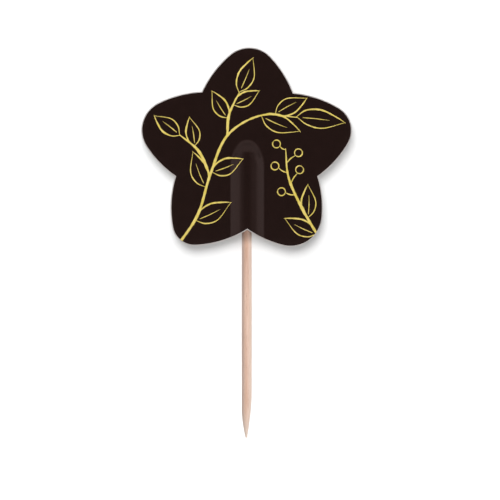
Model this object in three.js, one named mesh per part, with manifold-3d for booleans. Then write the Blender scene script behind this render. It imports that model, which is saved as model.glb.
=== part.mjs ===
// A star-shaped card topper on a wooden pick, in millimetres.
// The upper end of a toothpick lies between two glued card stars, which arch over it.
// +Z runs up the pick from its point, which is the origin. The printed front faces -Y.
// The mid-plane of the glued cards is the plane y = 0, through the axis of the pick.

import * as THREE from "three";
import { mergeVertices } from "three/addons/utils/BufferGeometryUtils.js";
import Module from "manifold-3d";

// The wooden pick
const STICK_LENGTH = 65;
const STICK_DIAMETER = 2.3;
const STICK_TOP_CHAMFER = 0.2;
const POINT_LENGTH = 10.3;
const POINT_END_DIAMETER = 0.4;
const POINT_SWELL = 0.15; // how far the sharpened flank swells past a straight cone

// The die-cut cards: a rounded star with one lobe up and a sharp notch between two lobes
const CARD_THICKNESS = 0.25;
const STAR_TIP_RADIUS = 24.9;
const STAR_NOTCH_RADIUS = 17.5;
const LOBE_TIP_ARC_RADIUS = 6.5;
const LOBE_SIDE_ARC_RADIUS = 25;
const STAR_CENTRE_PAST_STICK = 0.45; // from the blunt end of the pick up to the star's centre
const STAR_OFF_AXIS = 0.12; // the star is glued on a little to the right of the pick's axis

// The star is cut a little unevenly. Each lobe, and the notch after it, has its shares of the
// radii above and its degrees of turn from even spacing, counterclockwise from the top lobe.
const LOBES = [
  { reach: 0.984, turn: -1.4, tipArc: 1.05, notchReach: 1.015, notchTurn: 0.2 },
  { reach: 1.014, turn: 0.6, tipArc: 1.08, notchReach: 0.997, notchTurn: -0.5 },
  { reach: 1.015, turn: -1.3, tipArc: 0.8, notchReach: 1.001, notchTurn: 0 },
  { reach: 0.987, turn: -0.6, tipArc: 1.13, notchReach: 0.981, notchTurn: 0.2 },
  { reach: 0.999, turn: -1.4, tipArc: 0.94, notchReach: 1.006, notchTurn: -1 },
];

// The glue and the arch that each card makes over the pick
const GLUE_COAT = 0.05; // on each card, so the film between the flats is twice this
const RIDGE_WIDTH = 7.6; // between the two creases, on the outside
const STICK_CLEARANCE = 0.05; // between the pick and the glue over it
const GLUE_CLEARANCE = 0.02; // between the arched glue and the arched card

// The arch drapes over the end of the pick in a soft point, with contours that are all alike.
// Each leaves its straight run this far below the end of the crown and closes this far above
// it, as a share of its distance from the middle.
const DRAPE_BELOW = 0.8;
const DRAPE_ABOVE = 0.93;
const DRAPE_FULLNESS = 0.8; // the power of a cosine that the contour's width follows

// Steps along curves
const TIP_ARC_STEPS = 12;
const SIDE_ARC_STEPS = 7;
const ARCH_HALF_STEPS = 10;
const RIDGE_END_STEPS = 48;
const STICK_SIDES = 32;
const POINT_STEPS = 10;
const SEAM = 0.001; // two points this close together are one

// Depths from the mid-plane, the same on the front and on the back
const cardInner = GLUE_COAT;
const cardOuter = GLUE_COAT + CARD_THICKNESS;
const pocketRise = STICK_DIAMETER / 2 + STICK_CLEARANCE;
const ridgeCrown = cardOuter + pocketRise;

// The arches share one axis, so the card and the glue keep their thickness round them.
const ridgeRadius = ((RIDGE_WIDTH / 2) ** 2 + pocketRise ** 2) / (2 * pocketRise);
const pocketRadius = ridgeRadius - cardOuter;
const archAxis = pocketRadius - pocketRise; // behind the mid-plane for the front arch

// Heights
const starCentre = STICK_LENGTH + STAR_CENTRE_PAST_STICK;
const stickShoulder = STICK_LENGTH - STICK_TOP_CHAMFER;
const ridgeEnd = stickShoulder - starCentre; // where the ridge starts to round off, from the star's centre

const wasm = await Module();
wasm.setup();

// A closed geometry as a solid that can be joined and cut.
function solid(geometry) {
  geometry.deleteAttribute("normal");
  geometry.deleteAttribute("uv");
  const merged = mergeVertices(geometry);
  return new wasm.Manifold(
    new wasm.Mesh({
      numProp: 3,
      vertProperties: merged.attributes.position.array,
      triVerts: new Uint32Array(merged.index.array),
    }),
  );
}

// A joined and cut solid as a geometry again.
function geometryOf(body) {
  const mesh = body.getMesh();
  const geometry = new THREE.BufferGeometry();
  geometry.setAttribute("position", new THREE.BufferAttribute(mesh.vertProperties, mesh.numProp));
  geometry.setIndex(new THREE.BufferAttribute(mesh.triVerts, 1));
  const faceted = geometry.toNonIndexed();
  faceted.computeVertexNormals();
  return faceted;
}

// The point at this distance from the star's centre, at a bearing in degrees.
function polar(distance, bearing) {
  const angle = THREE.MathUtils.degToRad(bearing);
  return new THREE.Vector2(Math.cos(angle), Math.sin(angle)).multiplyScalar(distance);
}

// Points along an arc, counterclockwise from one angle to another, without the last one.
function arcPoints(centre, radius, from, to, steps) {
  const sweep = THREE.MathUtils.euclideanModulo(to - from, 2 * Math.PI);
  const points = [];
  for (let i = 0; i < steps; i++) {
    const angle = from + (sweep * i) / steps;
    points.push(new THREE.Vector2(Math.cos(angle), Math.sin(angle)).multiplyScalar(radius).add(centre));
  }
  return points;
}

// The centre of the side arc that joins a notch smoothly to a tip arc. hand is 1 for the side
// after the tip, counterclockwise, and -1 for the side before it.
function sideArcCentre(tip, tipArc, notch, hand) {
  const toTip = tip.clone().sub(notch);
  const span = toTip.length();
  const fromNotch = LOBE_SIDE_ARC_RADIUS;
  const fromTip = LOBE_SIDE_ARC_RADIUS - tipArc;
  const along = (span ** 2 + fromNotch ** 2 - fromTip ** 2) / (2 * span);
  const aside = hand * Math.sqrt(fromNotch ** 2 - along ** 2);
  const direction = toTip.divideScalar(span);
  const inward = new THREE.Vector2(direction.y, -direction.x);
  return notch.clone().addScaledVector(direction, along).addScaledVector(inward, aside);
}

// The outline of the star about its centre, counterclockwise.
function starShape() {
  const spacing = 360 / LOBES.length;
  const bearings = LOBES.map((lobe, i) => 90 + spacing * i);
  const notches = LOBES.map((lobe, i) =>
    polar(STAR_NOTCH_RADIUS * lobe.notchReach, bearings[i] + spacing / 2 + lobe.notchTurn),
  );
  const outline = [];
  LOBES.forEach((lobe, i) => {
    const tipArc = LOBE_TIP_ARC_RADIUS * lobe.tipArc;
    const tip = polar(STAR_TIP_RADIUS * lobe.reach - tipArc, bearings[i] + lobe.turn);
    const notchBefore = notches[(i + LOBES.length - 1) % LOBES.length];
    const before = sideArcCentre(tip, tipArc, notchBefore, -1);
    const after = sideArcCentre(tip, tipArc, notches[i], 1);
    const angleFrom = (centre, point) => point.clone().sub(centre).angle();
    const tipStart = angleFrom(before, tip);
    const tipEnd = angleFrom(after, tip);
    outline.push(
      ...arcPoints(before, LOBE_SIDE_ARC_RADIUS, angleFrom(before, notchBefore), tipStart, SIDE_ARC_STEPS),
      ...arcPoints(tip, tipArc, tipStart, tipEnd, TIP_ARC_STEPS),
      ...arcPoints(after, LOBE_SIDE_ARC_RADIUS, tipEnd, angleFrom(after, notches[i]), SIDE_ARC_STEPS),
    );
  });
  return new THREE.Shape(outline);
}

// The star between two depths, which are counted towards the front.
function starPrism(from, to) {
  const depth = Math.abs(to - from);
  const geometry = new THREE.ExtrudeGeometry(starShape(), { depth, bevelEnabled: false });
  geometry.rotateX(Math.PI / 2);
  geometry.translate(0, -Math.min(from, to), 0);
  return solid(geometry);
}

// Half of the lens between the front and the back arch of this radius, from the front crown
// to the back crown, with x counted from the middle of the ridge.
function lensProfile(radius) {
  const reach = Math.acos(archAxis / radius);
  const front = [];
  for (let i = 0; i <= ARCH_HALF_STEPS; i++) {
    const angle = (reach * i) / ARCH_HALF_STEPS;
    front.push(new THREE.Vector2(radius * Math.sin(angle), archAxis - radius * Math.cos(angle)));
  }
  front[0].x = 0;
  front[ARCH_HALF_STEPS].y = 0;
  const back = front.slice(0, -1).reverse();
  return [...front, ...back.map((point) => new THREE.Vector2(point.x, -point.y))];
}

// Moves a point of a tunnel's round end, about the end of its crown, onto the draped end.
function drape(point) {
  const [x, , z] = point;
  if (z < -SEAM) {
    return;
  }
  const reach = Math.hypot(x, z);
  const turn = Math.atan2(Math.max(z, 0), Math.abs(x));
  point[0] = Math.sign(x) * reach * Math.cos(turn) ** DRAPE_FULLNESS;
  point[2] = reach * ((DRAPE_BELOW + DRAPE_ABOVE) * (turn / (Math.PI / 2)) - DRAPE_BELOW);
}

// The space inside both arches of this radius: a lens-shaped tunnel with a draped upper end,
// which runs out past the bottom of the star.
function tunnel(radius) {
  const right = lensProfile(radius);
  const left = right.slice(1, -1).reverse();
  const section = new THREE.Shape([...right, ...left.map((point) => new THREE.Vector2(-point.x, point.y))]);
  const below = 2 * STAR_TIP_RADIUS;
  const run = new THREE.ExtrudeGeometry(section, { depth: below, bevelEnabled: false });
  run.translate(0, 0, -below);
  const end = new THREE.LatheGeometry(right, RIDGE_END_STEPS);
  return solid(run).add(solid(end)).warp(drape).translate([0, 0, ridgeEnd]);
}

// A card: a flat star with the arch raised in it. side is 1 for the front and -1 for the back.
function cardGeometry(side) {
  const flat = starPrism(side * cardInner, side * cardOuter);
  const arch = starPrism(side * cardInner, side * 2 * ridgeCrown).intersect(tunnel(ridgeRadius));
  return geometryOf(flat.add(arch).subtract(tunnel(ridgeRadius - CARD_THICKNESS)));
}

// The glue: a film between the flats that lines both arches and grips the pick.
function glueGeometry() {
  const film = starPrism(-GLUE_COAT, GLUE_COAT);
  const lined = tunnel(pocketRadius + GLUE_COAT - GLUE_CLEARANCE);
  const lining = starPrism(-2 * ridgeCrown, 2 * ridgeCrown).intersect(lined);
  return geometryOf(film.add(lining).subtract(tunnel(pocketRadius)));
}

// The pick, turned about its own axis from the point up.
function stickGeometry() {
  const radius = STICK_DIAMETER / 2;
  const end = new THREE.Vector2(POINT_END_DIAMETER / 2, 0);
  const shoulder = new THREE.Vector2(radius, POINT_LENGTH);
  const bend = end.clone().add(shoulder).divideScalar(2);
  bend.x += 2 * POINT_SWELL;
  const profile = [
    new THREE.Vector2(0, 0),
    ...new THREE.QuadraticBezierCurve(end, bend, shoulder).getPoints(POINT_STEPS),
    new THREE.Vector2(radius, stickShoulder),
    new THREE.Vector2(radius - STICK_TOP_CHAMFER, STICK_LENGTH),
    new THREE.Vector2(0, STICK_LENGTH),
  ];
  return new THREE.LatheGeometry(profile, STICK_SIDES);
}

function piece(name, geometry, color, roughness) {
  const mesh = new THREE.Mesh(geometry, new THREE.MeshStandardMaterial({ color, roughness, metalness: 0 }));
  mesh.name = name;
  return mesh;
}

const frontCard = piece("front_card", cardGeometry(1), 0x221715, 0.45);
const backCard = piece("back_card", cardGeometry(-1), 0xf3f0ea, 0.8);
const glueFilm = piece("glue_film", glueGeometry(), 0xe8dfc8, 0.35);

const topper = new THREE.Group();
topper.position.set(STAR_OFF_AXIS, 0, starCentre);
topper.add(frontCard, glueFilm, backCard);

const toothpick = piece("toothpick", stickGeometry(), 0xe6c8b2, 0.65);
toothpick.rotation.x = Math.PI / 2;

const group = new THREE.Group();
group.add(toothpick, topper);

export default group;
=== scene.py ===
"""A star-shaped card topper on a wooden pick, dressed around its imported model.

Sizes are in millimetres, and become metres where a mesh, a material, a lamp or the camera
is made. The printed front faces -Y. x and z on the card are counted from the star's centre.
"""

import math

import bmesh
import bpy
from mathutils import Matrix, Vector, noise
from mathutils.geometry import delaunay_2d_cdt

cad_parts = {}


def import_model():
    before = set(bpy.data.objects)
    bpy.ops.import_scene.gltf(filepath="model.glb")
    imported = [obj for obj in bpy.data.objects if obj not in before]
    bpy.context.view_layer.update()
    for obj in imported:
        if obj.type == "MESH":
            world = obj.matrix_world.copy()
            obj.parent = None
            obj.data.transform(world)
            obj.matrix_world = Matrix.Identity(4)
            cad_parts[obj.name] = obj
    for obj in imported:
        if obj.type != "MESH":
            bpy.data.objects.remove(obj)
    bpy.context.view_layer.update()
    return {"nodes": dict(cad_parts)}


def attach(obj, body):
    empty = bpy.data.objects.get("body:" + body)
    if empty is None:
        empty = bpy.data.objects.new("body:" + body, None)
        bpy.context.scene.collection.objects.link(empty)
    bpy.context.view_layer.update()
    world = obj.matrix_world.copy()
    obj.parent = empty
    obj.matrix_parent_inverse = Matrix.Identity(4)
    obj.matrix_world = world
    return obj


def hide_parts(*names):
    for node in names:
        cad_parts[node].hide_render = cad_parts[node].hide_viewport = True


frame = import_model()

MM = 0.001

# The card blank
STAR_TIP_RADIUS = 24.9
STAR_NOTCH_RADIUS = 17.5
LOBE_TIP_ARC_RADIUS = 6.5
LOBE_SIDE_ARC_RADIUS = 25.0
# The star is cut a little unevenly. Each lobe, and the notch after it, has its shares of the
# radii above and its degrees of turn from even spacing, counterclockwise from the top lobe.
LOBES = [
    {"reach": 0.984, "turn": -1.4, "tip_arc": 1.05, "notch_reach": 1.015, "notch_turn": 0.2},
    {"reach": 1.014, "turn": 0.6, "tip_arc": 1.08, "notch_reach": 0.997, "notch_turn": -0.5},
    {"reach": 1.015, "turn": -1.3, "tip_arc": 0.80, "notch_reach": 1.001, "notch_turn": 0.0},
    {"reach": 0.987, "turn": -0.6, "tip_arc": 1.13, "notch_reach": 0.981, "notch_turn": 0.2},
    {"reach": 0.999, "turn": -1.4, "tip_arc": 0.94, "notch_reach": 1.006, "notch_turn": -1.0},
]
CARD_THICKNESS = 0.25
CARD_INNER = 0.05  # from the mid-plane to the glued face of a card
CARD_OUTER = CARD_INNER + CARD_THICKNESS
CUT_ROUNDING = 0.22  # how far the die rolls the outer face over at the cut edge
CUT_WALL = 0.08  # the upright part of the cut edge, next to the glue

# The arch over the pick
RIDGE_WIDTH = 7.6
RIDGE_RISE = 1.2
RIDGE_RADIUS = ((RIDGE_WIDTH / 2) ** 2 + RIDGE_RISE**2) / (2 * RIDGE_RISE)
RIDGE_END_BELOW_CENTRE = 0.65
CREASE_SOFTNESS = 0.12
DRAPE_SOFTNESS = 0.34  # is added to the crease's softness round the end of the pick
DRAPE_SOFT_FROM = -4.0  # the z where that starts
DRAPE_SOFT_SPAN = 5.0  # the height over which it grows to all of it
# The card drapes over the end of the pick in a soft point, with contours that are all alike.
# Each leaves its straight run this far below the end of the crown and closes this far above
# it, as a share of its distance from the axis.
DRAPE_BELOW = 0.80
DRAPE_ABOVE = 0.93
DRAPE_FULLNESS = 0.42  # the power of a cosine, so that less is fuller

# How finely the cards are meshed
SIDE_STEPS = 40  # along each side of a lobe
TIP_STEPS = 26  # round each tip
CUT_STEPS = 4  # over the rolled edge
CROWN_STEP = 0.35  # between the lines that run along the crown of the ridge
CROWN_LINES = 10
CREASE_LINES = (-0.5, -0.36, -0.24, -0.12, 0.0, 0.12, 0.24, 0.4, 0.75)  # out from the crease
ROW_STEP = 0.4  # between the points of a line
ROWS_PAST_NOTCH = 6.0
DRAPE_POINTS = 3.0  # round a contour of the drape, for each row step from the axis
DRAPE_BUNCHING = 2.2  # moves them towards the top of the contour, where it bends most
RIDGE_MARGIN = 0.15  # from the edge to the nearest points of the ridge
FLAT_STEP = 1.6  # between the points of the flat
FLAT_ROW_SHARE = 0.866  # the distance between their rows, as a share of that step
FLAT_MARGIN = 0.6  # from the edge to the nearest points of the flat
FLAT_CLEARANCE = 1.0  # from the crease to the nearest points of the flat
CONTOUR_HALVINGS = 22
MERGED_BELOW = 1e-4  # points of a triangulation that are this close are one
WELDED_BELOW = 1e-3  # corners of a finished mesh that are this close are one

# The gold print
INK_THICKNESS = 0.02
INK_SINK = 0.005  # how far its underside lies below the face of the card
STEM_LINE = 0.62  # the width of a line, here and in the next three
HEAVY_LINE = 0.38
FINE_LINE = 0.27
VEIN_LINE = 0.20
WOBBLE = 0.35  # how unevenly a line is drawn, as a share of its width
WOBBLE_PER_MM = 1.3  # how quickly that changes along the line
WOBBLE_PER_WIDTH = 9  # keeps lines of different widths from wobbling alike
LEAF_DROOP = 0.1
BERRY_RADIUS = 0.9
BERRY_SPREAD = 0.9  # the angle between a berry's stalk and the stem, in radians
BERRY_STALK_BOW = 0.2
BERRY_RING_STEPS = 18

# The wooden pick
PICK_LENGTH = 65.0
PICK_RADIUS = 1.15
PICK_TOP_CHAMFER = 0.2
PICK_SIDES = 72
POINT_END_RADIUS = 0.17
POINT_ROUNDING = 0.16  # the height over which the very end is rounded off
POINT_FLAT = 0.02  # the share of its area that is left flat
POINT_DRIFT = -0.10  # the sharpened end lies a little to the left of the axis
POINT_DRIFT_BEND = 1.5  # the power with which it bends there
POINT_START = 8.3  # where the sharpening starts, halfway round
POINT_START_SKEW = 1.9  # how much further up it starts on the right, and down on the left
POINT_SWELL = 0.18  # how far the point bulges over a straight cone, halfway up
POINT_FACETS = 5
FACET_DEPTH = 0.03
FACET_START = 0.9  # the angle where they start, in radians
FACET_TWIST = 0.05  # and how far they twist in each mm
FIBRE_DEPTH = 0.018
FIBRES_ROUND = 2.6  # how quickly the fibres change round the pick
FIBRES_ALONG = 0.05  # and along it
# The heights of its rings: at the very end, up the point and up the shaft
END_HEIGHTS = [0.0, 0.04, 0.1, 0.2, 0.35, 0.55]
POINT_HEIGHTS = [0.8 + 0.3 * i for i in range(36)]
SHAFT_HEIGHTS = [12.0 + i for i in range(53)]

# The star on the pick
PICK_TOP_BELOW_CENTRE = 0.45
STAR_CENTRE_X = 0.12  # the star is glued on a little to the right of the pick's axis
STAR_CENTRE_Z = PICK_LENGTH + PICK_TOP_BELOW_CENTRE

# The camera
FRAME_WIDTH = 115.2  # width of the picture at the object
AIM = Vector((0.74, 0.0, 43.3))
LENS = 135.0
SENSOR = 36.0
CLIP_START = 10.0
CLIP_END = 20000.0

# The stage. A glow is two distances from a centre, each with the strength of the glow there.
FLOOR_REACH = 3000.0
FLOOR_WHITE = 0.8
FLOOR_GLOW = (80, 0.62), (400, 1.0)
BACKDROP_Y = 3.3
BACKDROP_REACH = 300.0
BACKDROP_HALF_HEIGHT = 150.0
BACKDROP_WHITE = 0.4
BACKDROP_GLOW = (34, 0.19), (92, 0.7)

# The lamps
ROOM_LIGHT = 0.2
LAMP_DISTANCE = 600.0
LAMP_AIM_BELOW_CENTRE = 12.0
LAMP_AIM = Vector((0, 0, STAR_CENTRE_Z - LAMP_AIM_BELOW_CENTRE))


# Outlines and surfaces


def polar(distance, degrees):
    angle = math.radians(degrees)
    return distance * Vector((math.cos(angle), math.sin(angle)))


def bearing(centre, point):
    return math.atan2(point.y - centre.y, point.x - centre.x)


def arc(centre, radius, start, end, steps):
    """Points along an arc, counterclockwise, without the last one."""
    sweep = (end - start) % (2 * math.pi)
    angles = [start + sweep * i / steps for i in range(steps)]
    return [centre + radius * Vector((math.cos(a), math.sin(a))) for a in angles]


def side_arc_centre(tip, tip_arc, notch, hand):
    """The centre of the side that joins a notch smoothly to a tip arc."""
    span = (tip - notch).length
    direction = (tip - notch) / span
    far = LOBE_SIDE_ARC_RADIUS - tip_arc
    along = (span**2 + LOBE_SIDE_ARC_RADIUS**2 - far**2) / (2 * span)
    aside = hand * math.sqrt(LOBE_SIDE_ARC_RADIUS**2 - along**2)
    return notch + along * direction + aside * Vector((direction.y, -direction.x))


def star_outline(inset=0.0):
    """The star's edge, or a line at this distance inside it, counterclockwise."""
    count = len(LOBES)
    lobes = []
    for i, lobe in enumerate(LOBES):
        even = 90 + 360 / count * i
        tip_arc = LOBE_TIP_ARC_RADIUS * lobe["tip_arc"]
        tip = polar(STAR_TIP_RADIUS * lobe["reach"] - tip_arc, even + lobe["turn"])
        notch_reach = STAR_NOTCH_RADIUS * lobe["notch_reach"]
        notch = polar(notch_reach, even + 180 / count + lobe["notch_turn"])
        lobes.append((tip, tip_arc, notch))
    before = [side_arc_centre(*lobes[i][:2], lobes[i - 1][2], -1) for i in range(count)]
    after = [side_arc_centre(*lobes[i], 1) for i in range(count)]
    side_radius = LOBE_SIDE_ARC_RADIUS - inset
    corners = []
    for i in range(count):
        # both sides at a notch bend alike, so they meet on the line halfway between their centres
        first, second = after[i], before[(i + 1) % count]
        middle = (first + second) / 2
        reach = math.sqrt(side_radius**2 - (first - second).length_squared / 4)
        corners.append(middle + reach * (lobes[i][2] - middle).normalized())
    outline = []
    for i in range(count):
        tip, tip_arc, _ = lobes[i]
        start, end = bearing(before[i], tip), bearing(after[i], tip)
        foot = bearing(before[i], corners[i - 1])
        outline += arc(before[i], side_radius, foot, start, SIDE_STEPS)
        outline += arc(tip, tip_arc - inset, start, end, TIP_STEPS)
        foot = bearing(after[i], corners[i])
        outline += arc(after[i], side_radius, end, foot, SIDE_STEPS)
    return outline


def inside(point, outline):
    """Whether a point lies inside a closed outline."""
    crossings = 0
    x, y = point
    previous = outline[-1]
    for corner in outline:
        if (corner.y > y) != (previous.y > y):
            share = (y - previous.y) / (corner.y - previous.y)
            crossings += previous.x + share * (corner.x - previous.x) > x
        previous = corner
    return crossings % 2 == 1


def drape_contour(u):
    """The contour at a distance of 1 from the axis, from 0 at its side to 1 at its top."""
    aside = math.cos(u * math.pi / 2) ** DRAPE_FULLNESS
    up = (DRAPE_BELOW + DRAPE_ABOVE) * u - DRAPE_BELOW
    return Vector((aside, up))


def from_ridge_axis(x, z):
    """Distance from the ridge's axis of the contour that a point lies on."""
    x, over = abs(x), z + RIDGE_END_BELOW_CENTRE
    if over <= -DRAPE_BELOW * x:
        return x
    low, high = 0.0, 1.0
    for _ in range(CONTOUR_HALVINGS):
        u = (low + high) / 2
        p = drape_contour(u)
        if p.y * x < over * p.x:
            low = u
        else:
            high = u
    return math.hypot(x, over) / p.length


def rise(x, z, radius=RIDGE_RADIUS):
    """How far the arched card stands over its flat, with a softened crease."""
    distance = from_ridge_axis(x, z)
    arch = math.sqrt(max(radius**2 - distance**2, 0.0)) - radius + RIDGE_RISE
    draped = min(max((z - DRAPE_SOFT_FROM) / DRAPE_SOFT_SPAN, 0.0), 1.0)
    softness = CREASE_SOFTNESS + DRAPE_SOFTNESS * draped
    near = max(0.0, 1.0 - abs(arch) / softness)
    return max(arch, 0.0) + softness * near**2 / 4


def ridge_points(outline):
    """Points that hold the shape of the ridge, closer together at its crease."""
    offsets = [CROWN_STEP * i for i in range(CROWN_LINES)]
    offsets += [RIDGE_WIDTH / 2 + out for out in CREASE_LINES]
    rows = int((STAR_NOTCH_RADIUS + ROWS_PAST_NOTCH) / ROW_STEP)
    points = []
    for offset in offsets:
        # the straight run of the contour, and then its way round the end of the pick
        for row in range(1, rows):
            z = -RIDGE_END_BELOW_CENTRE - offset * DRAPE_BELOW - row * ROW_STEP
            points += [Vector((side, z)) for side in sorted({offset, -offset})]
        turns = max(1, int(DRAPE_POINTS * offset / ROW_STEP))
        for i in range(turns + 1):
            p = offset * drape_contour(1 - (1 - i / turns) ** DRAPE_BUNCHING)
            z = p.y - RIDGE_END_BELOW_CENTRE
            points += [Vector((side, z)) for side in sorted({p.x, -p.x})]
    return [p for p in points if inside(p, outline)]


def flat_points(outline):
    """Points of a staggered grid over the flat of the card."""
    points = []
    reach = int(STAR_TIP_RADIUS / FLAT_STEP) + 1
    clear = RIDGE_WIDTH / 2 + FLAT_CLEARANCE
    for row in range(-reach, reach + 1):
        z = row * FLAT_STEP * FLAT_ROW_SHARE
        for column in range(-reach, reach + 1):
            p = Vector(((column + 0.5 * (row % 2)) * FLAT_STEP, z))
            if from_ridge_axis(p.x, p.y) > clear and inside(p, outline):
                points.append(p)
    return points


def triangulate(points, outlines):
    """Corners and triangles over the outlines, and the outlines that each triangle lies in."""
    coords = list(points)
    faces = []
    for outline in outlines:
        faces.append(list(range(len(coords), len(coords) + len(outline))))
        coords += outline
    # output type 1 keeps the triangles inside the outlines, and leaves the others out
    made = delaunay_2d_cdt(coords, [], faces, 1, MERGED_BELOW)
    corners, _, triangles, _, _, lies_in = made
    return corners, triangles, lies_in


# Meshes


def finish_mesh(name, bm, materials, smooth_degrees):
    """A mesh object in metres from a bmesh in millimetres, smooth up to this angle."""
    bmesh.ops.remove_doubles(bm, verts=bm.verts, dist=WELDED_BELOW)
    for face in bm.faces:
        face.smooth = True
    for edge in bm.edges:
        edge.smooth = len({face.material_index for face in edge.link_faces}) < 2
    for vert in bm.verts:
        vert.co *= MM
    mesh = bpy.data.meshes.new(name)
    bm.to_mesh(mesh)
    bm.free()
    for material in materials:
        mesh.materials.append(material)
    mesh.set_sharp_from_angle(angle=math.radians(smooth_degrees))
    piece = bpy.data.objects.new(name, mesh)
    bpy.context.scene.collection.objects.link(piece)
    return piece


def card_piece(name, side, face_material, core_material):
    """One die-cut card with its arch. side is -1 for the front and 1 for the back."""
    bm = bmesh.new()

    def place(p, depth):
        return bm.verts.new((STAR_CENTRE_X + p.x, side * depth, STAR_CENTRE_Z + p.y))

    def face(verts, material=0):
        made = bm.faces.new(verts if side < 0 else verts[::-1])
        made.material_index = material

    outer_edge = star_outline(CUT_ROUNDING)
    ridge = ridge_points(star_outline(CUT_ROUNDING + RIDGE_MARGIN))
    flat = flat_points(star_outline(CUT_ROUNDING + FLAT_MARGIN))
    coords, triangles, _ = triangulate(ridge + flat, [outer_edge])
    outer = [place(p, CARD_OUTER + rise(p.x, p.y)) for p in coords]
    for a, b, c in triangles:
        face([outer[a], outer[b], outer[c]])

    # the rolled cut edge, from the outer face down to the glued one
    roll = CARD_THICKNESS - CUT_WALL
    rings = []
    for i in range(CUT_STEPS + 1):
        angle = math.pi / 2 * i / CUT_STEPS
        line = star_outline(CUT_ROUNDING * (1 - math.sin(angle)))
        drop = roll * (1 - math.cos(angle))
        rings.append([place(p, CARD_OUTER - drop + rise(p.x, p.y)) for p in line])
    edge = star_outline()
    inner_radius = RIDGE_RADIUS - CARD_THICKNESS
    rings.append([place(p, CARD_INNER + rise(p.x, p.y, inner_radius)) for p in edge])
    for high, low in zip(rings, rings[1:]):
        for i in range(len(edge)):
            j = (i + 1) % len(edge)
            face([high[i], low[i], low[j], high[j]], 1)

    coords, triangles, _ = triangulate(ridge_points(star_outline(RIDGE_MARGIN)), [edge])
    inner = [place(p, CARD_INNER + rise(p.x, p.y, inner_radius)) for p in coords]
    for a, b, c in triangles:
        face([inner[c], inner[b], inner[a]], 1)
    return finish_mesh(name, bm, [face_material, core_material], smooth_degrees=32)


def pick_radius(x, y, z, angle):
    """The pick's radius at a height, in the direction x, y at this angle."""
    sharpened = min(z / (POINT_START + POINT_START_SKEW * x), 1.0)
    radius = POINT_END_RADIUS + (PICK_RADIUS - POINT_END_RADIUS) * sharpened
    radius += 4 * POINT_SWELL * sharpened * (1 - sharpened)
    radius *= math.sqrt(min(1.0, z / POINT_ROUNDING + POINT_FLAT))
    # fibres stand out along the grain, and the knife leaves low facets on the point
    fibre = noise.noise(Vector((x * FIBRES_ROUND, y * FIBRES_ROUND, z * FIBRES_ALONG)))
    radius -= FIBRE_DEPTH * (0.5 + 0.5 * fibre)
    facet = abs(math.sin(POINT_FACETS / 2 * angle + FACET_START + FACET_TWIST * z))
    return radius - FACET_DEPTH * (1 - sharpened) * min(z, 1.0) * facet


def pick_piece(name, material):
    """The round pick, with its grain standing out a little and a knife-cut point."""
    bm = bmesh.new()
    angles = [2 * math.pi * i / PICK_SIDES for i in range(PICK_SIDES)]
    shoulder = PICK_LENGTH - PICK_TOP_CHAMFER
    rings = []
    for z in [*END_HEIGHTS, *POINT_HEIGHTS, *SHAFT_HEIGHTS, shoulder]:
        drift = POINT_DRIFT * (1 - min(z / POINT_START, 1.0)) ** POINT_DRIFT_BEND
        ring = []
        for angle in angles:
            x, y = math.cos(angle), math.sin(angle)
            radius = pick_radius(x, y, z, angle)
            ring.append(bm.verts.new((drift + radius * x, radius * y, z)))
        rings.append(ring)
    end = PICK_RADIUS - PICK_TOP_CHAMFER
    top = [(end * math.cos(angle), end * math.sin(angle), PICK_LENGTH) for angle in angles]
    rings.append([bm.verts.new(corner) for corner in top])
    for low, high in zip(rings, rings[1:]):
        for i in range(PICK_SIDES):
            j = (i + 1) % PICK_SIDES
            bm.faces.new([low[i], low[j], high[j], high[i]])
    bm.faces.new(rings[0][::-1])
    bm.faces.new(rings[-1])
    return finish_mesh(name, bm, [material], smooth_degrees=50)


# The line print


def curve(*knots, steps=26):
    """Points along a smooth curve through the knots."""
    knots = [Vector(k) for k in knots]
    path = [2 * knots[0] - knots[1], *knots, 2 * knots[-1] - knots[-2]]
    points = []
    for a, b, c, d in zip(path, path[1:], path[2:], path[3:]):
        for i in range(steps):
            t = i / steps
            points.append(
                0.5 * (2 * b + (c - a) * t + (2 * a - 5 * b + 4 * c - d) * t**2)
                + 0.5 * (3 * b - 3 * c + d - a) * t**3
            )
    return [*points, knots[-1]]


def stroke(points, width, swell=0.5, start=0.35, end=0.2):
    """The outline of a brush stroke.

    It reaches its width at swell, a share of its length, and thins to the shares start and
    end of its width at its two ends.
    """
    left, right = [], []
    last = len(points) - 1
    for i, p in enumerate(points):
        t = i / last
        near = t / swell if t < swell else (1 - t) / (1 - swell)
        thin = start if t < swell else end
        half = width / 2 * (thin + (1 - thin) * math.sin(near * math.pi / 2))
        at = Vector((p.x * WOBBLE_PER_MM, p.y * WOBBLE_PER_MM, width * WOBBLE_PER_WIDTH))
        half *= 1 + WOBBLE * noise.noise(at)
        ahead = (points[min(i + 1, last)] - points[max(i - 1, 0)]).normalized()
        normal = Vector((-ahead.y, ahead.x))
        if i == 0:
            left.append(p - half * ahead)
        left.append(p + half * normal)
        right.append(p - half * normal)
        if i == last:
            left.append(p + half * ahead)
    return right + left[::-1]


def turned(point, angle, base):
    """A point that is counted along and across this direction from a base."""
    cos, sin = math.cos(angle), math.sin(angle)
    return base + Vector((point[0] * cos - point[1] * sin, point[0] * sin + point[1] * cos))


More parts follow.
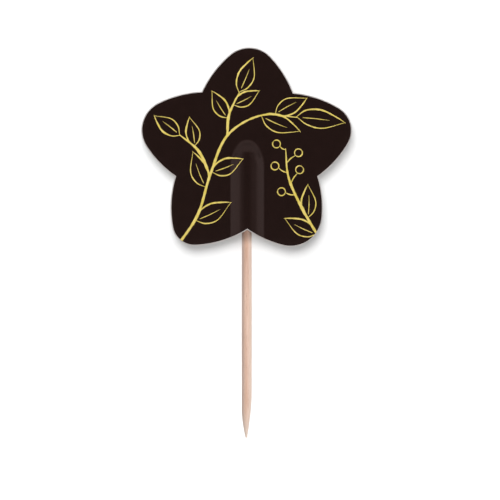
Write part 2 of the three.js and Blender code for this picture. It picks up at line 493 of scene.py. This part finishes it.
def leaf(base, heading, length, breadth, bend):
    """A leaf drawn with a heavy edge, a light edge and a short vein. A minus breadth mirrors it.

    bend is how far aside its end lies, as a share of its length.
    """
    droop = bend * length
    half = breadth / 2

    def line(*knots):
        return curve(*[turned((x * length, y), heading, base) for x, y in knots], steps=14)

    heavy = line(
        (0, 0),
        (0.2, half * 0.8),
        (0.5, half + 0.3 * droop),
        (0.8, half * 0.5 + 0.7 * droop),
        (1, droop),
    )
    light = line((0.03, 0), (0.24, -half * 0.72), (0.55, -half * 0.9 + 0.3 * droop), (0.97, droop))
    vein = line((0.14, 0), (0.4, 0.1 * droop), (0.68, 0.42 * droop))
    return [
        stroke(heavy, HEAVY_LINE, swell=0.5, start=0.3, end=0.25),
        stroke(light, FINE_LINE, swell=0.4, start=0.4, end=0.3),
        stroke(vein, VEIN_LINE, swell=0.3, start=0.5, end=0.2),
    ]


def berry(base, heading, stalk):
    """A round berry on a short stalk, drawn as two half rings."""
    middle = turned((stalk / 2, BERRY_STALK_BOW), heading, base)
    end = turned((stalk, 0), heading, base)
    centre = turned((stalk + BERRY_RADIUS, 0), heading, base)
    strokes = [stroke(curve(base, middle, end, steps=8), FINE_LINE)]
    for side in (0.0, math.pi):
        start, stop = heading + side - 0.1, heading + side + math.pi * 0.98
        ring = arc(centre, BERRY_RADIUS, start, stop, BERRY_RING_STEPS)
        strokes.append(stroke(ring, FINE_LINE, swell=0.5, start=0.6, end=0.6))
    return strokes


def heading_at(stem, fraction):
    """The point at this fraction of a stem, and the direction in which the stem runs there."""
    i = min(int(fraction * (len(stem) - 1)), len(stem) - 2)
    return stem[i], bearing(stem[i], stem[i + 1])


def spray(stem, leaves, end_leaf=None):
    """A stem with leaves at fractions of it: fraction, side, length, breadth and spread.

    end_leaf is the length, breadth and bend of a leaf at its end.
    """
    strokes = [stroke(stem, STEM_LINE, swell=0.35, start=0.8, end=0.3)]
    for fraction, side, length, breadth, spread in leaves:
        base, heading = heading_at(stem, fraction)
        strokes += leaf(base, heading + side * spread, length, -breadth * side, -LEAF_DROOP * side)
    if end_leaf:
        strokes += leaf(*heading_at(stem, 1), *end_leaf)
    return strokes


def line_print():
    """Every stroke of the leafy drawing on the star."""
    strokes = []
    # the main stem, from the lower left lobe round the ridge into the right lobe
    strokes += spray(
        curve((-17.6, -23.2), (-11.6, -14.4), (-8.6, -5.0), (-4.6, 4.2), (3.0, 8.8), (11.5, 8.4)),
        [
            (0.18, -1, 9.5, 4.2, 0.70),
            (0.34, 1, 9.0, 4.0, 0.72),
            (0.42, -1, 8.0, 3.8, 0.95),
            (0.80, -1, 10.0, 4.0, 0.72),
            (0.88, 1, 8.5, 3.8, 0.66),
        ],
        (11.5, 4.4, -0.06),
    )
    # a branch up into the top lobe
    strokes += spray(
        curve((-4.6, 4.2), (-4.2, 9.0), (-1.8, 14.2)),
        [(0.42, 1, 7.5, 3.4, 0.80), (0.72, -1, 7.0, 3.2, 0.72)],
        (8.8, 3.8, 0.05),
    )
    # a branch into the left lobe
    strokes += spray(
        curve((-8.6, -5.0), (-11.2, 0.6), (-15.6, 4.4)),
        [(0.62, -1, 7.0, 3.2, 0.75)],
        (7.6, 3.6, 0.05),
    )
    # a sprig up out of the lower right lobe, with berries at fraction, side and stalk
    sprig = curve((18.6, -22.6), (13.4, -14.0), (9.6, -5.8), (8.8, 1.2))
    strokes += spray(sprig, [(0.16, 1, 8.5, 3.6, 0.66), (0.30, -1, 8.0, 3.4, 0.62)])
    berries = [(0.52, 1, 2.4), (0.62, -1, 3.0), (0.74, 1, 2.4), (0.84, -1, 2.8), (1.0, 1, 1.6)]
    for fraction, side, stalk in berries:
        base, heading = heading_at(sprig, fraction)
        strokes += berry(base, heading + side * BERRY_SPREAD, stalk)
    return strokes


def print_piece(name, material):
    """The gold ink as a thin layer that follows the card, cut off at its printed edge."""
    printed = star_outline(CUT_ROUNDING)
    coords, triangles, lies_in = triangulate(ridge_points(printed), [printed, *line_print()])
    bm = bmesh.new()
    high, low = {}, {}

    def at(index, layer, height):
        if index not in layer:
            p = coords[index]
            surface = CARD_OUTER + rise(p.x, p.y)
            corner = (STAR_CENTRE_X + p.x, -surface - height, STAR_CENTRE_Z + p.y)
            layer[index] = bm.verts.new(corner)
        return layer[index]

    # the inked triangles lie within the printed edge, which is outline 0, and within a stroke
    inked = [t for t, within in zip(triangles, lies_in) if 0 in within and len(within) > 1]
    sides = {(t[i], t[(i + 1) % 3]) for t in inked for i in range(3)}
    for t in inked:
        bm.faces.new([at(i, high, INK_THICKNESS) for i in t])
        bm.faces.new([at(i, low, -INK_SINK) for i in reversed(t)])
    for a, b in sorted(sides):
        if (b, a) not in sides:
            bm.faces.new([high[b], high[a], low[a], low[b]])
    return finish_mesh(name, bm, [material], smooth_degrees=40)


# Materials


def linear(red, green, blue):
    """A colour written as 8-bit display values, as the linear values that a shader takes."""
    made = []
    for value in (red, green, blue):
        v = value / 255
        made.append(v / 12.92 if v <= 0.04045 else ((v + 0.055) / 1.055) ** 2.4)
    return (*made, 1.0)


class Nodes:
    """A material under construction: its node tree, its shader and one line per node."""

    # a mix node has sockets of one name for each type of value, so these go by their number
    MIX_FACTOR, MIX_FIRST, MIX_SECOND, MIX_RESULT = 0, 6, 7, 2

    def __init__(self, name):
        self.material = bpy.data.materials.new(name)
        self.material.use_nodes = True
        self.tree = self.material.node_tree
        self.shader = self.tree.nodes["Principled BSDF"]
        self.place = self.add("ShaderNodeTexCoord").outputs["Object"]

    def add(self, kind, **values):
        node = self.tree.nodes.new(kind)
        for key, value in values.items():
            setattr(node, key, value)
        return node

    def link(self, source, target):
        self.tree.links.new(source, target)

    def stretched(self, scale):
        node = self.add("ShaderNodeMapping")
        node.inputs["Scale"].default_value = scale
        self.link(self.place, node.inputs["Vector"])
        return node.outputs["Vector"]

    def noise(self, size_mm, detail, roughness=0.55, place=None):
        """Noise whose features are about this large."""
        node = self.add("ShaderNodeTexNoise")
        node.inputs["Scale"].default_value = 1.0 / (size_mm * MM)
        node.inputs["Detail"].default_value = detail
        node.inputs["Roughness"].default_value = roughness
        self.link(place or self.place, node.inputs["Vector"])
        return node.outputs["Fac"]

    def up_to(self, low_mm, high_mm, axis="Z"):
        """A value from 0 to 1 that rises smoothly between two places along an axis."""
        split = self.add("ShaderNodeSeparateXYZ")
        self.link(self.place, split.inputs[0])
        node = self.add("ShaderNodeMapRange", interpolation_type="SMOOTHSTEP")
        node.inputs["From Min"].default_value = low_mm * MM
        node.inputs["From Max"].default_value = high_mm * MM
        self.link(split.outputs[axis], node.inputs["Value"])
        return node.outputs["Result"]

    def ramp(self, value, *stops):
        """Colours at places along a value."""
        node = self.add("ShaderNodeValToRGB")
        while len(node.color_ramp.elements) < len(stops):
            node.color_ramp.elements.new(0.5)
        for element, (position, colour) in zip(node.color_ramp.elements, stops):
            element.position = position
            element.color = colour if len(colour) == 4 else (*colour, 1.0)
        self.link(value, node.inputs["Fac"])
        return node.outputs["Color"]

    def scaled(self, value, at_0, at_1):
        """A value from 0 to 1 brought between two levels."""
        node = self.add("ShaderNodeMapRange")
        node.inputs["To Min"].default_value = at_0
        node.inputs["To Max"].default_value = at_1
        self.link(value, node.inputs["Value"])
        return node.outputs["Result"]

    def mix(self, factor, first, second, blend="MIX"):
        node = self.add("ShaderNodeMix", data_type="RGBA", blend_type=blend)
        values = {self.MIX_FACTOR: factor, self.MIX_FIRST: first, self.MIX_SECOND: second}
        for socket, value in values.items():
            if isinstance(value, bpy.types.NodeSocket):
                self.link(value, node.inputs[socket])
            else:
                node.inputs[socket].default_value = value
        return node.outputs[self.MIX_RESULT]

    def flecks(self, base, value, start, full, share, colour):
        """A base with a colour over it: none where the value is start, and a share at full."""
        cover = self.ramp(value, (start, (0, 0, 0)), (full, (share, share, share)))
        return self.mix(cover, base, colour)

    def bump(self, height, depth_mm, strength, under=None):
        node = self.add("ShaderNodeBump")
        node.inputs["Strength"].default_value = strength
        node.inputs["Distance"].default_value = depth_mm * MM
        self.link(height, node.inputs["Height"])
        if under:
            self.link(under, node.inputs["Normal"])
        return node.outputs["Normal"]

    def colour(self, source):
        self.link(source, self.shader.inputs["Base Color"])

    def rough(self, source):
        self.link(source, self.shader.inputs["Roughness"])

    def normal(self, source):
        self.link(source, self.shader.inputs["Normal"])


def black_print():
    """Coated card printed solid black, slightly warm, with the tooth of the paper under it."""
    m = Nodes("black_print")
    cloud = m.noise(3.0, detail=2.0)
    tooth = m.noise(0.16, detail=4.0, roughness=0.7)
    base = m.ramp(cloud, (0.3, (0.0066, 0.0023, 0.0015)), (0.7, (0.0084, 0.0031, 0.0023)))
    m.colour(m.flecks(base, tooth, start=0.45, full=0.8, share=0.5, colour=(0.016, 0.0075, 0.006, 1)))
    m.rough(m.scaled(m.noise(0.7, detail=3.0), 0.18, 0.27))
    m.shader.inputs["Specular IOR Level"].default_value = 0.084
    m.shader.inputs["Specular Tint"].default_value = (1.0, 0.70, 0.66, 1.0)
    m.normal(m.bump(tooth, depth_mm=0.004, strength=0.5))
    return m.material


def gold_ink():
    """Pale gold ink with a fine grain."""
    m = Nodes("gold_ink")
    pool = m.noise(1.1, detail=2.0)
    grain = m.noise(0.09, detail=3.0, roughness=0.7)
    base = m.ramp(pool, (0.3, linear(205, 183, 73)), (0.7, linear(222, 201, 111)))
    m.colour(m.flecks(base, grain, start=0.5, full=0.85, share=0.6, colour=linear(188, 158, 58)))
    m.rough(m.scaled(grain, 0.34, 0.52))
    m.shader.inputs["Metallic"].default_value = 0.15
    m.shader.inputs["Specular IOR Level"].default_value = 0.35
    m.normal(m.bump(grain, depth_mm=0.003, strength=0.5))
    return m.material


def paper_core():
    """The cut edge and the glued face: white board with fine layers of fibre."""
    m = Nodes("paper_core")
    fibre = m.noise(0.05, detail=4.0, roughness=0.7, place=m.stretched((1, 4, 1)))
    m.colour(m.ramp(fibre, (0.3, linear(183, 176, 173)), (0.75, linear(215, 208, 205))))
    m.rough(m.scaled(fibre, 0.8, 0.95))
    m.shader.inputs["Specular IOR Level"].default_value = 0.2
    m.normal(m.bump(fibre, depth_mm=0.01, strength=0.7))
    return m.material


def white_board():
    """The plain uncoated back: mottled white with short fibres."""
    m = Nodes("white_board")
    cloud = m.noise(2.2, detail=3.0)
    fibre = m.noise(0.22, detail=5.0, roughness=0.65, place=m.stretched((1, 1, 0.35)))
    tooth = m.noise(0.1, detail=4.0, roughness=0.7)
    base = m.ramp(cloud, (0.3, linear(241, 238, 232)), (0.7, linear(245, 243, 238)))
    m.colour(m.flecks(base, fibre, start=0.52, full=0.8, share=0.45, colour=linear(219, 211, 198)))
    m.rough(m.scaled(tooth, 0.75, 0.95))
    m.shader.inputs["Specular IOR Level"].default_value = 0.25
    fibres = m.bump(fibre, depth_mm=0.008, strength=0.5)
    m.normal(m.bump(tooth, depth_mm=0.008, strength=0.5, under=fibres))
    return m.material


def glue():
    """Dried white glue, seen as a thin line along the edge."""
    m = Nodes("dried_glue")
    flow = m.noise(0.6, detail=3.0)
    m.colour(m.ramp(flow, (0.3, linear(214, 203, 180)), (0.7, linear(238, 230, 212))))
    m.rough(m.scaled(flow, 0.25, 0.5))
    m.normal(m.bump(flow, depth_mm=0.02, strength=0.5))
    return m.material


def birch():
    """Pale birch with long grain and darker pores.

    It has a painted sheen that makes its right side lighter, and painted shade that makes its left
    side more grey. It is fresh and pale where it is sharpened, has painted shade from the cards
    that makes it a little darker higher up, and their shadow painted darker where it enters the cards.
    """
    m = Nodes("birch")
    long_grain = m.stretched((1, 1, 0.045))
    band = m.noise(0.75, detail=3.0, roughness=0.5, place=long_grain)
    grain = m.noise(0.2, detail=4.0, roughness=0.6, place=long_grain)
    pore = m.noise(0.085, detail=3.0, roughness=0.6, place=m.stretched((1, 1, 0.09)))
    mottle = m.noise(1.6, detail=2.0, roughness=0.5, place=m.stretched((1, 1, 0.5)))
    dark, plain, light = linear(224, 180, 153), linear(238, 200, 178), linear(245, 214, 196)
    base = m.ramp(band, (0.28, dark), (0.5, plain), (0.74, light))
    base = m.flecks(base, grain, start=0.42, full=0.75, share=0.55, colour=linear(207, 160, 132))
    base = m.flecks(base, mottle, start=0.5, full=0.8, share=0.35, colour=linear(230, 188, 168))
    base = m.flecks(base, pore, start=0.6, full=0.72, share=0.6, colour=linear(176, 134, 108))
    # painted sheen: the right side is made lighter and whiter, as where the light falls on it
    painted_right_sheen = m.scaled(m.up_to(0.2, 0.9, "X"), 0.0, 0.5)
    base = m.mix(painted_right_sheen, base, linear(243, 224, 210))
    # painted shade: the left side is made darker and more grey, away from the light
    painted_left_shade = m.scaled(m.up_to(-1.0, -0.3, "X"), 0.45, 0.0)
    base = m.mix(painted_left_shade, base, linear(228, 207, 197))
    fresh = m.scaled(m.up_to(0.5, 9.0), 0.7, 0.0)
    base = m.mix(fresh, base, linear(246, 228, 214))
    # painted shade of the cards over the upper part of the pick
    painted_card_shade = m.ramp(m.up_to(31, 40), (0.0, (1, 1, 1)), (1.0, (0.93, 0.92, 0.93)))
    base = m.mix(1.0, base, painted_card_shade, "MULTIPLY")
    # painted shadow of the cards on the pick, darkest where it enters them
    half_shadow, full_shadow = (0.70, 0.68, 0.66), (0.42, 0.39, 0.37)
    painted_card_shadow = m.ramp(m.up_to(44.2, 47.2), (0.0, (1, 1, 1)), (0.4, half_shadow), (1.0, full_shadow))
    m.colour(m.mix(1.0, base, painted_card_shadow, "MULTIPLY"))
    m.rough(m.scaled(grain, 0.42, 0.6))
    m.shader.inputs["Specular IOR Level"].default_value = 0.5
    grooves = m.bump(grain, depth_mm=0.03, strength=0.6)
    m.normal(m.bump(pore, depth_mm=0.02, strength=0.5, under=grooves))
    return m.material


def in_view(tree):
    """1 for rays that carry what the viewer sees, also in a reflection or through glass."""
    path = tree.nodes.new("ShaderNodeLightPath")
    seen = path.outputs["Is Camera Ray"]
    for name in ("Is Glossy Ray", "Is Transmission Ray"):
        either = tree.nodes.new("ShaderNodeMath")
        either.operation = "MAXIMUM"
        tree.links.new(seen, either.inputs[0])
        tree.links.new(path.outputs[name], either.inputs[1])
        seen = either.outputs[0]
    return seen


def ground(name, white, centre, near, far):
    """A pale stage surface that can be seen from its front only and glows in the picture.

    white is the share of light that it scatters back. near and far are distances from
    the centre, each with the strength of the glow there.
    """
    m = Nodes(name)
    m.tree.nodes.remove(m.shader)
    matt = m.add("ShaderNodeBsdfDiffuse")
    matt.inputs["Color"].default_value = (white, white, white, 1)
    reach = m.add("ShaderNodeVectorMath", operation="DISTANCE")
    m.link(m.place, reach.inputs[0])
    reach.inputs[1].default_value = centre * MM
    glow = m.add("ShaderNodeMapRange", interpolation_type="SMOOTHSTEP")
    glow.inputs["From Min"].default_value = near[0] * MM
    glow.inputs["From Max"].default_value = far[0] * MM
    glow.inputs["To Min"].default_value = near[1]
    glow.inputs["To Max"].default_value = far[1]
    m.link(reach.outputs["Value"], glow.inputs["Value"])
    strength = m.add("ShaderNodeMath", operation="MULTIPLY")
    m.link(in_view(m.tree), strength.inputs[0])
    m.link(glow.outputs["Result"], strength.inputs[1])
    light = m.add("ShaderNodeEmission")
    m.link(strength.outputs[0], light.inputs["Strength"])
    both = m.add("ShaderNodeAddShader")
    m.link(matt.outputs[0], both.inputs[0])
    m.link(light.outputs[0], both.inputs[1])
    side = m.add("ShaderNodeMixShader")
    m.link(m.add("ShaderNodeNewGeometry").outputs["Backfacing"], side.inputs[0])
    m.link(both.outputs[0], side.inputs[1])
    m.link(m.add("ShaderNodeBsdfTransparent").outputs[0], side.inputs[2])
    m.link(side.outputs[0], m.tree.nodes["Material Output"].inputs["Surface"])
    return m.material


# The piece list


def build_pieces():
    printed, core = black_print(), paper_core()
    front = card_piece("printed_front_card", -1, printed, core)
    back = card_piece("plain_back_card", 1, white_board(), core)
    ink = print_piece("gold_line_print", gold_ink())
    pick = pick_piece("wooden_pick", birch())
    slots = [(front, "printed_card"), (back, "plain_card"), (ink, "printed_card"), (pick, "pick_wood")]
    for piece, slot in slots:
        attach(piece, "root")
    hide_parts("front_card")
    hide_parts("back_card")
    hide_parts("toothpick")
    film = frame["nodes"]["glue_film"]
    film.data.materials.clear()
    film.data.materials.append(glue())
    return [front, back, ink, pick, film]


# Camera, stage and lamps


def camera():
    data = bpy.data.cameras.new("camera")
    data.lens = LENS
    data.sensor_width = SENSOR
    data.clip_start = CLIP_START * MM
    data.clip_end = CLIP_END * MM
    made = bpy.data.objects.new("camera", data)
    distance = FRAME_WIDTH * LENS / SENSOR
    made.location = (AIM + Vector((0, -distance, 0))) * MM
    made.rotation_euler = (math.pi / 2, 0, 0)
    bpy.context.scene.collection.objects.link(made)
    bpy.context.scene.camera = made


def plane(name, centre, across, up, material):
    """A flat rectangle that faces across x up, which are half its sides."""
    mesh = bpy.data.meshes.new(name)
    corners = [centre + a * across + b * up for a, b in ((-1, -1), (1, -1), (1, 1), (-1, 1))]
    mesh.from_pydata([c * MM for c in corners], [], [(0, 1, 2, 3)])
    mesh.materials.append(material)
    made = bpy.data.objects.new(name, mesh)
    bpy.context.scene.collection.objects.link(made)
    return made


def stage():
    origin = Vector((0, 0, 0))
    floor = plane(
        "floor",
        origin,
        Vector((FLOOR_REACH, 0, 0)),
        Vector((0, FLOOR_REACH, 0)),
        ground("floor_white", FLOOR_WHITE, origin, *FLOOR_GLOW),
    )
    behind_star = Vector((0, 0, STAR_CENTRE_Z))
    backdrop = plane(
        "backdrop",
        Vector((0, BACKDROP_Y, BACKDROP_HALF_HEIGHT)),
        Vector((BACKDROP_REACH, 0, 0)),
        Vector((0, 0, BACKDROP_HALF_HEIGHT)),
        ground("backdrop_white", BACKDROP_WHITE, behind_star, *BACKDROP_GLOW),
    )
    backdrop.visible_diffuse = False
    backdrop.visible_glossy = False
    backdrop.visible_transmission = False
    backdrop.visible_shadow = False
    return floor, backdrop


def collection(name, members):
    made = bpy.data.collections.new(name)
    for member in members:
        made.objects.link(member)
    return made


def softbox(
    name,
    azimuth,
    elevation,
    size,
    radiance,
    lights,
    shape="RECTANGLE",
    blocked_by=None,
    matt=True,
    gloss=True,
):
    """A lamp at these angles from what it is aimed at, counted from the front.

    Its size is the two angles that it fills as seen from there. It lights only what is in
    lights, and only what is in blocked_by throws shadows in its light, if that is given.
    matt and gloss say whether it shows in the scattered and in the mirrored light.
    """
    width, height = (2 * LAMP_DISTANCE * MM * math.tan(math.radians(angle) / 2) for angle in size)
    data = bpy.data.lights.new(name, "AREA")
    data.shape = shape
    data.size, data.size_y = width, height
    area = width * height * (1.0 if shape == "RECTANGLE" else math.pi / 4)
    # a lamp's radiance is its power over pi times its area
    data.energy = radiance * math.pi * area
    made = bpy.data.objects.new(name, data)
    az, el = math.radians(azimuth), math.radians(elevation)
    towards = Vector((math.sin(az) * math.cos(el), -math.cos(az) * math.cos(el), math.sin(el)))
    made.location = (LAMP_AIM + LAMP_DISTANCE * towards) * MM
    made.rotation_euler = towards.to_track_quat("Z", "Y").to_euler()
    bpy.context.scene.collection.objects.link(made)
    made.light_linking.receiver_collection = lights
    if blocked_by:
        made.light_linking.blocker_collection = blocked_by
    made.visible_diffuse = matt
    made.visible_glossy = gloss


def lamps(pieces, floor, backdrop):
    front, back, ink, pick, film = pieces
    lit = collection("lit_object", pieces)
    lit_cards = collection("lit_cards", [front, back, ink, film])
    lit_pick = collection("lit_pick", [pick])
    lit_floor = collection("lit_floor", [floor])
    lit_backdrop = collection("lit_backdrop", [backdrop])
    cards = collection("cards", [front, back])
    # azimuth, elevation, the angles that it fills, radiance and what it lights
    # on the cards, from the front, and top_box on the pick too
    softbox("left_strip", -49.5, 3, (41, 26), 3.9, lit_cards)
    softbox("left_sheen", -22, 3, (15, 26), 0.9, lit_cards, matt=False)
    softbox("right_strip", 59, 1, (40, 32), 3.8, lit_cards)
    softbox("right_sheen", 27, 2, (25, 30), 1.2, lit_cards, matt=False)
    softbox("top_box", 0, 44, (16, 46), 2.6, lit, gloss=False)
    softbox("top_sheen", 0, 43, (110, 36), 2.85, lit_cards, matt=False)
    # on the pick
    softbox("pick_key", 35, 10, (30, 40), 4.0, lit_pick)
    softbox("pick_fill", -30, 0, (30, 40), 1.3, lit_pick)
    softbox("right_edge", 110, 5, (40, 50), 1.3, lit_pick)
    softbox("pick_back_left", -158, 22, (36, 36), 3.0, lit_pick)
    softbox("pick_back_right", 158, 22, (36, 36), 2.3, lit_pick)
    # on the cards, from behind
    softbox("back_key", 150, 26, (36, 36), 4.4, lit_cards)
    softbox("back_fill", -162, 14, (36, 36), 1.1, lit_cards)
    # on the stage, where only the cards throw a shadow
    softbox("floor_key", -6.8, 25, (40.6, 40.6), 7.6, lit_floor, "ELLIPSE", cards)
    softbox("backdrop_key", -6.8, 25, (40.6, 40.6), 16.2, lit_backdrop, "ELLIPSE", cards)


def world():
    """White in the picture, and an even room light on everything."""
    made = bpy.data.worlds.new("studio")
    made.use_nodes = True
    tree = made.node_tree
    level = tree.nodes.new("ShaderNodeMath")
    level.operation = "MULTIPLY_ADD"
    tree.links.new(in_view(tree), level.inputs[0])
    level.inputs[1].default_value = 1 - ROOM_LIGHT
    level.inputs[2].default_value = ROOM_LIGHT
    sky = tree.nodes["Background"]
    sky.inputs["Color"].default_value = (1, 1, 1, 1)
    tree.links.new(level.outputs[0], sky.inputs["Strength"])
    bpy.context.scene.world = made


camera()
pieces = build_pieces()
lamps(pieces, *stage())
world()
bpy.context.scene.view_settings.view_transform = "Standard"
